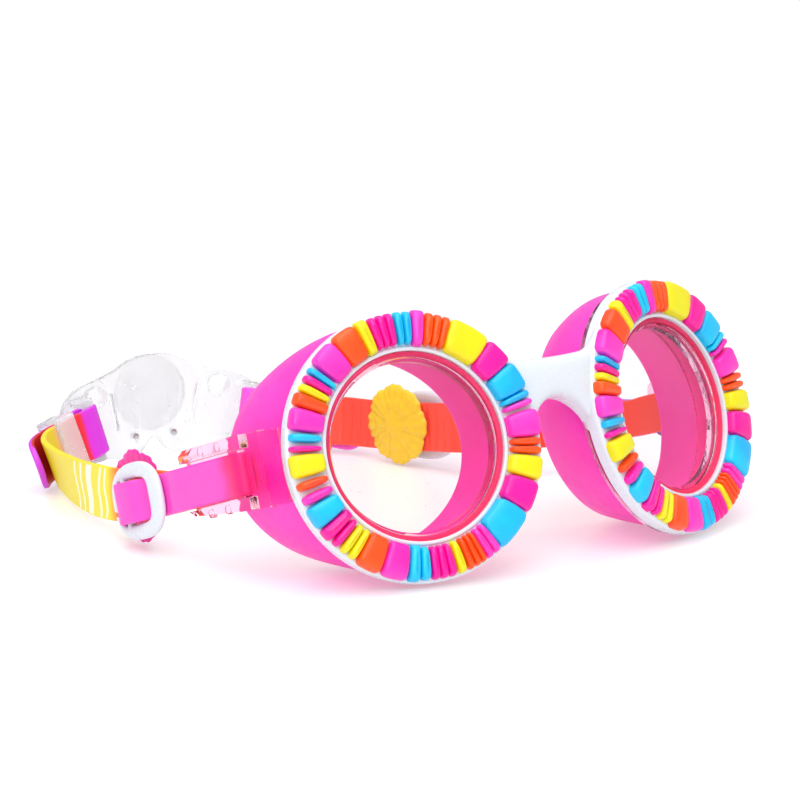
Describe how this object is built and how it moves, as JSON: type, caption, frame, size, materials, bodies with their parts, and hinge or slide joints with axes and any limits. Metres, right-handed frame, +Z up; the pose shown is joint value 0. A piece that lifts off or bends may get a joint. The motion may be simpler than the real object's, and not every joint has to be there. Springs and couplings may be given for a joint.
{
  "type": "swim goggles",
  "caption": "Child's swim goggles: round rims with candy-coloured beads, soft face gaskets, silicone strap with flower slides and a clear rear adjuster.",
  "frame": {"origin": "on the table, under the middle of the whole object's bounding box, with the goggles lying as they rest on a flat surface", "axes": "+Z up; +Y from the lenses back to the rear adjuster; +X towards the right eye cup as seen from the front"},
  "size_m": [0.1287, 0.1452, 0.0519],
  "materials": {
    "white_plastic": "smooth moulded white plastic",
    "clear_pink": "transparent pink polycarbonate, polished",
    "clear_rose": "transparent rose plastic, polished",
    "lens": "clear polycarbonate lens, very light pink tint",
    "pink_silicone": "soft hot-pink silicone, satin",
    "purple_silicone": "soft purple silicone, satin",
    "yellow_silicone": "soft yellow silicone, satin",
    "orange_silicone": "soft orange-red silicone, satin",
    "bead_pink": "soft pink rubber, satin",
    "bead_magenta": "soft magenta rubber, satin",
    "bead_orange": "soft orange rubber, satin",
    "bead_yellow": "soft yellow rubber, satin",
    "bead_blue": "soft sky-blue rubber, satin",
    "clear_plastic": "clear plastic, polished",
    "steel": "small bright steel pins"
  },
  "bodies": {
    "front": {"front_frame": "white_plastic", "left_lens_cup": "clear_pink", "left_lens": "lens", "left_lens_ring": "clear_rose", "left_gasket": "pink_silicone", "left_beads_pink": "bead_pink", "left_beads_magenta": "bead_magenta", "left_beads_orange": "bead_orange", "left_beads_yellow": "bead_yellow", "left_beads_blue": "bead_blue", "left_strap_anchor": "pink_silicone", "right_lens_cup": "clear_pink", "right_lens": "lens", "right_lens_ring": "clear_rose", "right_gasket": "pink_silicone", "right_beads_pink": "bead_pink", "right_beads_magenta": "bead_magenta", "right_beads_orange": "bead_orange", "right_beads_yellow": "bead_yellow", "right_beads_blue": "bead_blue", "right_strap_anchor": "purple_silicone"},
    "strap_loop": {"left_strap_end": "pink_silicone", "left_strap": "yellow_silicone", "left_ring": "white_plastic", "left_flower": "pink_silicone", "right_strap_end": "purple_silicone", "right_strap": "orange_silicone", "right_ring": "white_plastic", "right_flower": "yellow_silicone", "adjuster_shell": "clear_plastic", "adjuster_badge": "clear_plastic", "strap_bars": "clear_plastic", "adjuster_rivets": "steel"},
    "left_keeper": {"left_keeper": "clear_plastic"},
    "right_keeper": {"right_keeper": "clear_plastic"},
    "left_release": {"left_release": "clear_plastic"},
    "right_release": {"right_release": "clear_plastic"}
  },
  "joints": [
    {"name": "strap_lift", "type": "hinge", "parent": "front", "child": "strap_loop", "pos_m": [0.00082, -0.02166, 0.01481], "axis": [1, 0, 0], "range_deg": [-15, 35]},
    {"name": "left_keeper_slide", "type": "slide", "parent": "strap_loop", "child": "left_keeper", "axis": [0.89, 0.4341, 0.1392], "range_m": [-0.001, 0.0015]},
    {"name": "right_keeper_slide", "type": "slide", "parent": "strap_loop", "child": "right_keeper", "axis": [-0.7909, 0.596, 0.1392], "range_m": [-0.001, 0.0015]},
    {"name": "left_release_press", "type": "slide", "parent": "strap_loop", "child": "left_release", "axis": [0.1111, -0.9938, 0], "range_m": [0, 0.0012], "stiffness_N_per_m": 300, "springref_m": -0.0005},
    {"name": "right_release_press", "type": "slide", "parent": "strap_loop", "child": "right_release", "axis": [-0.3152, -0.949, 0], "range_m": [0, 0.0012], "stiffness_N_per_m": 300, "springref_m": -0.0005}
  ]
}
